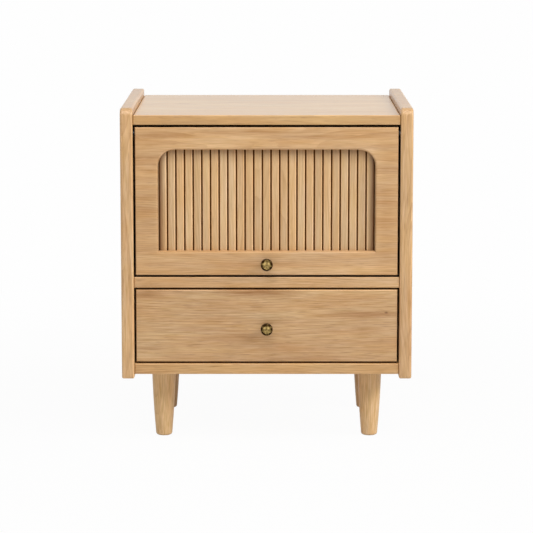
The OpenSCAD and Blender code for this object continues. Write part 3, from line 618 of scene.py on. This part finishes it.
# Hearts are (across, across) behind the shown face, in the cut's own axes: for grain X they are y and z, for
# grain Y they are minus x and z, and for grain Z they are y and minus x.
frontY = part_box("door_frame")[0].y
sideEdge = 4 * mm  # how far back the side panels' rounded edge stays free of the painted gap shade
boardEdge = 1.2 * mm  # the same for the boards between them
topRail = 37 * mm  # widths of the door frame from its edge to its window
stile = 38 * mm
sideLook = {
    "grain": "Z", "coat": 0.45, "edgeWearAndHighlight": 1.12, "endGrain": 0.95,
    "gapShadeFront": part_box("side_panel_left")[0].y + sideEdge,
}
oakCuts = {
    "side_panel_left": {
        **sideLook, "heart": (frontY - 0.25, 0.30), "seed": 11.0,
        # painted light: the left panel's colours are paler than the right's, to make up for the lamps on the
        # right
        "pale": "#D5B07E", "honey": "#C39463",
    },
    "side_panel_right": {
        **sideLook, "heart": (frontY - 0.22, -0.33), "seed": 17.0,
        "pale": "#D1AC7B", "honey": "#BF9160",
    },
    "top_panel": {
        "grain": "X", "heart": (0.03, middle("top_panel", 2) - 0.09), "seed": 23.0,
        "pale": "#D6AF74", "honey": "#C3935B", "latewood": "#9A692F",
        "ringDepth": 0.35, "ringPitch": 5 * mm, "fibreDepth": 0.1, "coat": 0.6, "frontFaceTone": 0.92,
        "gapShadeFront": frontY + boardEdge,
    },
    "middle_shelf": {
        "grain": "X", "heart": (frontY + 0.2, middle("middle_shelf", 2) - 0.2), "seed": 29.0,
        "pale": "#D3AE81", "honey": "#BF9364",
        "ringDepth": 0.35, "fibreDepth": 0.14, "coat": 0.0, "specular": 0.3,
        "gapShadeFront": frontY + boardEdge,
    },
    "bottom_panel": {
        "grain": "X", "heart": (frontY + 0.2, middle("bottom_panel", 2) + 0.2), "seed": 31.0,
        "tint": "#FBF9F2",
    },
    "door_frame": {
        "grain": "X", "heart": (frontY + 0.10, middle("door_frame", 2) + 0.09), "seed": 41.0,
        "pale": "#DAB588", "honey": "#BF9364",
        "ringDepth": 0.42, "ringDrift": 14 * mm, "widths": {"patches": 45 * mm}, "bandShare": 0.6,
        "fibreDepth": 0.14, "poreDepth": 0.18, "coat": 0.0, "specular": 0.3, "edgeWearAndHighlight": 1.05,
        "gapShadeFront": frontY + boardEdge,
        "flames": [
            {"place": (-176 * mm, frontY, 517 * mm), "half": (50 * mm, 5 * mm), "depth": 0.6},
            {"place": (-20 * mm, frontY, 524 * mm), "half": (95 * mm, 4 * mm), "depth": 0.6},
            {"place": (75 * mm, frontY, 515 * mm), "half": (80 * mm, 4 * mm), "depth": 0.5},
            {"place": (-200 * mm, frontY, 380 * mm), "half": (26 * mm, 70 * mm), "depth": 0.25},
            {"place": (198 * mm, frontY, 400 * mm), "half": (24 * mm, 120 * mm), "depth": 0.4},
        ],
    },
    "drawer_front": {
        "grain": "X", "heart": (frontY + 0.16, middle("drawer_front", 2) - 0.10), "seed": 47.0,
        "pale": "#D3AE7D", "honey": "#BA8A59", "tint": "#F9FBFF",
        "fibreDepth": 0.2, "ringDepth": 0.42, "ringDrift": 11 * mm,
        "knot": {
            "place": (197.5 * mm, frontY, 224 * mm), "size": 2.4 * mm, "coreReach": 0.6 * mm,
            "bulgeReach": 9.6 * mm, "flatness": 0.6, "colour": "#6E4A2C", "depth": 0.9,
        },
        "flames": [
            {"place": (-14 * mm, frontY, 258 * mm), "half": (66 * mm, 8 * mm), "depth": 1.0},
            {"place": (-200 * mm, frontY, 254 * mm), "half": (36 * mm, 9 * mm), "depth": 0.5},
            {"place": (165 * mm, frontY, 221 * mm), "half": (80 * mm, 5 * mm), "depth": 0.7},
            {"place": (-30 * mm, frontY, 182 * mm), "half": (40 * mm, 6 * mm), "depth": 0.6},
            {"place": (-190 * mm, frontY, 164 * mm), "half": (30 * mm, 5 * mm), "depth": 0.35},
        ],
    },
}
for nodeName, cut in oakCuts.items():
    paint([nodeName], oakBoard("oiled white oak, " + nodeName.replace("_", " "), cut))

# painted light: the legs' oak is paler than the body's, to make up for the shade under the table
legCut = {
    "grain": "Z", "heart": (-0.33, 0.41), "pale": "#EFCE9C", "honey": "#DCB27E", "latewood": "#B88957",
    "ringPitch": 3 * mm, "ringDepth": 0.3, "ringDrift": 8 * mm, "poreDepth": 0.15,
    "edgeWearAndHighlight": 1.0, "coat": 0.0, "specular": 0.3,
}
# painted shade: the right legs are tinted darker than the left, to offset the lamps on the right
litAndShadedLegs = {
    "left": {"seed": 53.0},
    "right": {"seed": 57.0, "tint": "#F5F3F3"},
}
legNames = [name for name in nodes if name.startswith("leg_") and name.split("_")[1] in ("front", "back")]
for hand, legCopy in litAndShadedLegs.items():
    paint(
        [name for name in legNames if name.endswith(hand)],
        oakBoard("turned and oiled white oak, " + hand + " legs", {**legCut, **legCopy}),
    )

slatNames = sorted(name for name in nodes if name.startswith("tambour_slat_"))
slatFirst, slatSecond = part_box(slatNames[0]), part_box(slatNames[1])
slatGap = slatSecond[0].x - slatFirst[1].x
slatCut = {
    "grain": "Z", "heart": (frontY + 0.08, 0.02), "seed": 61.0,
    "pale": "#D8B98F", "honey": "#C69D6E", "latewood": "#9F7044",
    "ringPitch": 4.5 * mm, "ringDepth": 0.35, "fibreDepth": 0.1, "poreDepth": 0.18,
    "edgeWearAndHighlight": 1.35, "coat": 0.0, "specular": 0.3,
    # painted shade beside the window frame: where it lies under the head and at the ends, how far it reaches,
    # how dark it is
    "frameShade": {
        "head": {"place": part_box("door_frame")[1].z - topRail, "reach": 24 * mm, "depth": 0.34},
        "end": {"place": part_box("door_frame")[1].x - stile, "reach": 11 * mm, "depth": 1.0},
    },
    "strips": {
        "first": slatFirst[0].x - slatGap / 2,
        "pitch": slatSecond[0].x - slatFirst[0].x,
        "jump": (0.7, 0.05, 0.06),
        "toneSpread": 0.06,
    },
}
paint(slatNames, oakBoard("sanded and oiled white oak, slats", slatCut))

insideWood = {
    "pale": "#E6CAA2",
    "honey": "#DAB88A",
    "latewood": "#BE9461",
    "pore": "#95673F",
    "ringDepth": 0.45,
    "sheen": (0.52, 0.62),
}
insideCuts = {
    "back_panel": {"grain": "Z", "heart": (0.3, 0.0), "seed": 71.0, "ringPitch": 7 * mm},
    "drawer_side_left": {"grain": "Y", "heart": (0.35, 0.19), "seed": 73.0},
    "drawer_side_right": {"grain": "Y", "heart": (-0.35, 0.21), "seed": 79.0},
    "drawer_back": {"grain": "X", "heart": (0.3, 0.2), "seed": 83.0},
    "drawer_bottom": {"grain": "X", "heart": (0.0, 0.05), "seed": 89.0, "ringPitch": 7 * mm},
}
for nodeName, cut in insideCuts.items():
    paint([nodeName], oakBoard("sealed plain oak, " + nodeName.replace("_", " "), {**insideWood, **cut}))
print("oak:", len(oakCuts) + len(insideCuts), "boards,", len(legNames), "legs,", len(slatNames), "slats")

darkStain = {
    "dark": "#5F3B16",
    "thin": "#76491D",
    "strokes": (60, 60, 6),  # per metre along X, Y and Z: the brush went up and down the board
    "relief": 0.1 * mm,
    "roughness": 0.7,
    "specular": 0.15,
}


def stainedBoard():
    # thin board stained dark brown, a little uneven where the brush overlapped
    finish, tree, shader = newFinish("dark stained board")
    place = addNode(tree, "TexCoord", {}).outputs["Object"]
    strokes = addNode(tree, "Mapping", {"Vector": place, "Scale": darkStain["strokes"]})
    noise = addNode(tree, "TexNoise", {"Vector": strokes.outputs[0], "Scale": 1.0, "Detail": 4.0})
    colour = addNode(tree, "Mix", {
        0: noise.outputs["Fac"],
        6: linear(darkStain["dark"]),
        7: linear(darkStain["thin"]),
    }, data_type="RGBA")
    bump = addNode(tree, "Bump", {
        "Strength": 0.4,
        "Distance": darkStain["relief"],
        "Height": noise.outputs["Fac"],
    })
    setInputs(tree, shader, {
        "Base Color": colour.outputs[2],
        "Normal": bump.outputs[0],
        "Roughness": darkStain["roughness"],
        "Specular IOR Level": darkStain["specular"],
    })
    return finish


paint(["tambour_backing"], stainedBoard())

beech = {
    "pale": "#E0BE93",
    "tan": "#D0A67A",
    "fleck": "#A87650",
    "fleckWidth": 2.2 * mm,
    "fleckEdge": (0.12, 0.3),  # from a fleck's middle, in fleck widths, over which it fades
    "fleckDepth": 0.5,
    "cloud": 18 * mm,
    "squeeze": 0.12,  # of places along Y, which draws flecks and clouds out along the runners
    "relief": 0.05 * mm,
    "roughness": 0.42,
}


def waxedBeech():
    # planed beech: even pinkish tan with short dark ray flecks, waxed where it slides
    finish, tree, shader = newFinish("waxed beech")
    place = addNode(tree, "TexCoord", {}).outputs["Object"]
    stretched = addNode(tree, "Mapping", {"Vector": place, "Scale": (1, beech["squeeze"], 1)}).outputs[0]
    flecks = addNode(tree, "TexVoronoi", {"Vector": stretched, "Scale": 1 / beech["fleckWidth"]})
    fleckMask = addNode(tree, "MapRange", {
        "Value": flecks.outputs["Distance"],
        "From Min": beech["fleckEdge"][0],
        "From Max": beech["fleckEdge"][1],
        "To Min": beech["fleckDepth"],
        "To Max": 0.0,
    })
    cloud = addNode(tree, "TexNoise", {"Vector": stretched, "Scale": 1 / beech["cloud"], "Detail": 3.0})
    body = addNode(tree, "Mix", {
        0: cloud.outputs["Fac"],
        6: linear(beech["pale"]),
        7: linear(beech["tan"]),
    }, data_type="RGBA")
    colour = addNode(tree, "Mix", {
        0: fleckMask.outputs["Result"],
        6: body.outputs[2],
        7: linear(beech["fleck"]),
    }, data_type="RGBA")
    bump = addNode(tree, "Bump", {
        "Strength": 0.3,
        "Distance": beech["relief"],
        "Height": cloud.outputs["Fac"],
    })
    setInputs(tree, shader, {
        "Base Color": colour.outputs[2],
        "Normal": bump.outputs[0],
        "Roughness": beech["roughness"],
    })
    return finish


paint(["carcass_dowels", "drawer_runner_left", "drawer_runner_right"], waxedBeech())

zinc = {
    "bright": "#B9BCC0",
    "dull": "#A3A6AC",
    "bloom": 9 * mm,
    "scratch": 0.5 * mm,
    "squeeze": 0.04,  # of places along Y, which draws the scratches out that way
    "roughness": (0.26, 0.42),
    "relief": 0.02 * mm,
}


def zincPlate():
    # bright zinc plate on pressed steel: cool grey with a faint cloudy bloom and fine rolling scratches
    finish, tree, shader = newFinish("bright zinc plated steel")
    place = addNode(tree, "TexCoord", {}).outputs["Object"]
    bloom = addNode(tree, "TexNoise", {"Vector": place, "Scale": 1 / zinc["bloom"], "Detail": 3.0})
    rolled = addNode(tree, "Mapping", {"Vector": place, "Scale": (1, zinc["squeeze"], 1)}).outputs[0]
    scratches = addNode(tree, "TexNoise", {
        "Vector": rolled,
        "Scale": 1 / zinc["scratch"],
        "Detail": 2.0,
    }).outputs["Fac"]
    colour = addNode(tree, "Mix", {
        0: bloom.outputs["Fac"],
        6: linear(zinc["bright"]),
        7: linear(zinc["dull"]),
    }, data_type="RGBA")
    roughness = addNode(tree, "MapRange", {
        "Value": scratches,
        "From Min": 0.3,
        "From Max": 0.7,
        "To Min": zinc["roughness"][0],
        "To Max": zinc["roughness"][1],
    })
    bump = addNode(tree, "Bump", {"Strength": 0.2, "Distance": zinc["relief"], "Height": scratches})
    setInputs(tree, shader, {
        "Base Color": colour.outputs[2],
        "Roughness": roughness.outputs["Result"],
        "Normal": bump.outputs[0],
        "Metallic": 1.0,
    })
    return finish


steelNames = [
    "wood_screws", "door_screws", "leg_plates", "leg_bolts", "hinge_pins",
    "stay_housing", "stay_arm", "stay_link", "stay_bracket", "catch_plate",
]
paint(steelNames, zincPlate())

nylon = {
    "deep": "#161514",
    "paler": "#201F1E",
    "tone": 12 * mm,
    "grit": 0.4 * mm,
    "relief": 0.03 * mm,
    "roughness": 0.6,
    "specular": 0.3,
    "ior": 1.53,
}


def mouldedNylon():
    # black nylon, injection moulded: nearly black, with a fine spark texture and a soft sheen
    finish, tree, shader = newFinish("moulded black nylon")
    place = addNode(tree, "TexCoord", {}).outputs["Object"]
    grit = addNode(tree, "TexNoise", {"Vector": place, "Scale": 1 / nylon["grit"], "Detail": 2.0})
    tone = addNode(tree, "TexNoise", {"Vector": place, "Scale": 1 / nylon["tone"], "Detail": 1.0})
    colour = addNode(tree, "Mix", {
        0: tone.outputs["Fac"],
        6: linear(nylon["deep"]),
        7: linear(nylon["paler"]),
    }, data_type="RGBA")
    bump = addNode(tree, "Bump", {
        "Strength": 0.25,
        "Distance": nylon["relief"],
        "Height": grit.outputs["Fac"],
    })
    setInputs(tree, shader, {
        "Base Color": colour.outputs[2],
        "Normal": bump.outputs[0],
        "Roughness": nylon["roughness"],
        "Specular IOR Level": nylon["specular"],
        "IOR": nylon["ior"],
    })
    return finish


paint(["hinge_bushes", "catch_body"], mouldedNylon())
print("fittings: stained board, beech, zinc, nylon")

# Knob: a turned mushroom with a ringed, dished face, aged dark, with painted highlights on the face
knob = {
    "radius": 10.0 * mm,
    "reach": 25.0 * mm,
    "faceRadius": 6.7 * mm,
    "dish": 0.5 * mm,
    "ringDepth": 0.18 * mm,
    "rings": 3,
    "head": 8.3 * mm,  # from the face back to the widest part's end
    "neckRadius": 4.5 * mm,
    "flare": 3.0 * mm,
    "footRadius": 6.5 * mm,
    "footThickness": 2.0 * mm,
    "footSlope": 1.0 * mm,  # how much higher the foot is at the neck
    "studRadius": 2.5 * mm,
    "studLength": 14.0 * mm,
    "columns": 96,  # round the axis
    "faceRows": 31,
    "turnRows": 13,  # along each quarter turn
    "sharpFrom": 50,  # degrees between two faces, from which their edge is sharp
}
patinaAndGleams = {
    "clean": "#E9C87E",
    "aged": "#2B1B08",
    "tarnish": 0.66,  # of the face, where 0 is clean brass
    "rimFade": 0.9 * mm,  # how far inside the face's edge the rim's dark starts
    "backStart": 2.5 * mm,  # how far behind the face the dark starts, and how far on it is full
    "backFade": 2.0 * mm,
    "ringLine": 0.2,  # how much darker the bottom of each ring is
    "paintedGleams": ((42, 1.0), (138, 1.0), (238, 0.5), (302, 0.5)),  # degrees from the right, and how bright each painted highlight is
    "gleamSpread": 24,
    "gleamRadius": 0.62,  # as a share of the face's radius
    "gleamReach": 0.28,
    "bloom": 3.5 * mm,
    "uneven": 0.18,
    "relief": 0.05 * mm,
    "roughness": (0.3, 0.5),  # clean and aged
}


def agedBrass():
    # turned brass under old lacquer: olive gold on the face with painted highlights, nearly black-brown in
    # the rim and neck
    finish, tree, shader = newFinish("turned brass, aged and lacquered")
    share = addNode(tree, "Attribute", {}, attribute_name="patinaAndGleams").outputs["Fac"]
    place = addNode(tree, "TexCoord", {}).outputs["Object"]
    bloom = addNode(tree, "TexNoise", {
        "Vector": place,
        "Scale": 1 / patinaAndGleams["bloom"],
        "Detail": 4.0,
    }).outputs["Fac"]
    uneven = addNode(tree, "MapRange", {
        "Value": bloom,
        "From Min": 0.35,
        "From Max": 0.65,
        "To Min": -patinaAndGleams["uneven"],
        "To Max": patinaAndGleams["uneven"],
    })
    aged = addNode(tree, "Math", {
        0: share,
        1: uneven.outputs[0],
    }, operation="ADD", use_clamp=True).outputs[0]
    colour = addNode(tree, "Mix", {
        0: aged,
        6: linear(patinaAndGleams["clean"]),
        7: linear(patinaAndGleams["aged"]),
    }, data_type="RGBA")
    roughness = addNode(tree, "MapRange", {
        "Value": aged,
        "To Min": patinaAndGleams["roughness"][0],
        "To Max": patinaAndGleams["roughness"][1],
    })
    bump = addNode(tree, "Bump", {"Strength": 0.25, "Distance": patinaAndGleams["relief"], "Height": bloom})
    # the turning tool's fine rings draw each gleam out into two opposite lobes
    rings = addNode(tree, "Tangent", {}, direction_type="RADIAL", axis="Y")
    setInputs(tree, shader, {
        "Base Color": colour.outputs[2],
        "Roughness": roughness.outputs["Result"],
        "Normal": bump.outputs[0],
        "Tangent": rings.outputs[0],
        "Anisotropic": 0.8,
        "Metallic": 1.0,
    })
    return finish


def knobProfile():
    # radius and reach along the outline, from the face's middle, over the rim, down the neck and foot to the
    # stud. Face: reach - dish - ringDepth * (1 - cos(2 pi rings t)) / 2. Shoulder and flare: quarter turns.
    t = np.linspace(0, 1, knob["faceRows"])
    inner = knob["faceRadius"] - knob["dish"]
    face = np.stack([
        inner * t,
        knob["reach"] - knob["dish"] - knob["ringDepth"] * (1 - np.cos(2 * np.pi * knob["rings"] * t)) / 2,
    ])
    turn = np.linspace(np.pi / 2, 0, knob["turnRows"])
    shoulder = knob["radius"] - knob["faceRadius"]
    rim = np.stack([
        knob["faceRadius"] + shoulder * np.cos(turn),
        knob["reach"] - shoulder + shoulder * np.sin(turn),
    ])
    under = turn[::-1]
    flare = np.stack([
        knob["neckRadius"] + (knob["radius"] - knob["neckRadius"]) * np.cos(under),
        knob["reach"] - knob["head"] - knob["flare"] * np.sin(under),
    ])
    footAndStud = np.array([
        (knob["neckRadius"], knob["footThickness"] + knob["footSlope"]),
        (knob["footRadius"], knob["footThickness"]),
        (knob["footRadius"], 0),
        (knob["studRadius"], 0),
        (knob["studRadius"], -knob["studLength"]),
        (0, -knob["studLength"]),
    ]).T
    return np.concatenate([face, rim, flare, footAndStud], axis=1)


def knobPatina(radius, reach, angle):
    # 1 outside the face and behind it, with a dark line in each ring. On the face it is the tarnish,
    # lightened
    # by painted highlights in four lobes: each is exp(-(turn from its middle / spread)^2), times
    # exp(-((radius share - lobe radius) / lobe reach)^2).
    faceReach = knob["reach"] - knob["dish"]
    beyond = np.clip((radius - knob["faceRadius"] + patinaAndGleams["rimFade"]) / patinaAndGleams["rimFade"], 0, 1)
    behind = np.clip((knob["reach"] - patinaAndGleams["backStart"] - reach) / patinaAndGleams["backFade"], 0, 1)
    hollow = np.clip((faceReach - reach) / knob["ringDepth"], 0, 1)
    onFace = reach > faceReach - knob["ringDepth"] * 1.01  # a hair deeper than the rings
    around = np.zeros_like(angle)
    for middleAngle, strength in patinaAndGleams["paintedGleams"]:
        turned = (angle - math.radians(middleAngle) + np.pi) % (2 * np.pi) - np.pi
        around = around + strength * np.exp(-(turned / math.radians(patinaAndGleams["gleamSpread"])) ** 2)
    share = radius / knob["faceRadius"]
    ring = np.exp(-((share - patinaAndGleams["gleamRadius"]) / patinaAndGleams["gleamReach"]) ** 2) * onFace
    paler = np.clip(np.outer(ring, around), 0, 1)
    face = patinaAndGleams["tarnish"] * (1 - paler) + patinaAndGleams["ringLine"] * (hollow * onFace)[:, None]
    return np.clip(np.maximum(np.maximum(beyond, behind)[:, None], face), 0, 1)


def turnedKnob(name, centre, body, replaced, finish):
    # point(profile, angle) = centre + (radius cos angle, -reach, radius sin angle)
    radius, reach = knobProfile()
    columns = knob["columns"]
    angle = np.linspace(0, 2 * np.pi, columns, endpoint=False)
    points = np.stack([
        centre[0] + np.outer(radius, np.cos(angle)),
        centre[1] - np.outer(reach, np.ones_like(angle)),
        centre[2] + np.outer(radius, np.sin(angle)),
    ], axis=-1)
    ring = points[1:-1].reshape(-1, 3)
    poles = points[[0, -1], 0]

    # the grid lies between two poles, each closed by a fan of triangles
    last = len(ring) - columns
    column = np.arange(columns)
    following = (column + 1) % columns
    front, back = np.full_like(column, len(ring)), np.full_like(column, len(ring) + 1)
    faces = gridFaces(len(radius) - 2, columns, True)
    faces += np.stack([front, following, column], axis=-1).tolist()
    faces += np.stack([last + column, last + following, back], axis=-1).tolist()
    piece = meshPiece(name, np.concatenate([ring, poles]), faces, finish)
    shade = knobPatina(radius[1:-1], reach[1:-1], angle).reshape(-1)
    layer = piece.data.attributes.new("patinaAndGleams", "FLOAT", "POINT")
    layer.data.foreach_set("value", np.concatenate([shade, [0.0, 1.0]]))  # a clean and an aged pole
    piece.data.shade_smooth()
    piece.data.set_sharp_from_angle(angle=math.radians(knob["sharpFrom"]))
    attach(piece, body)
    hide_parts(replaced)


brass = agedBrass()
for replaced, body in (("door_knob", "door"), ("drawer_knob", "drawer")):
    centre = (middle(replaced, 0), frontY, middle(replaced, 2))
    turnedKnob("turned_" + replaced, centre, body, replaced, brass)
print("knobs: turned")
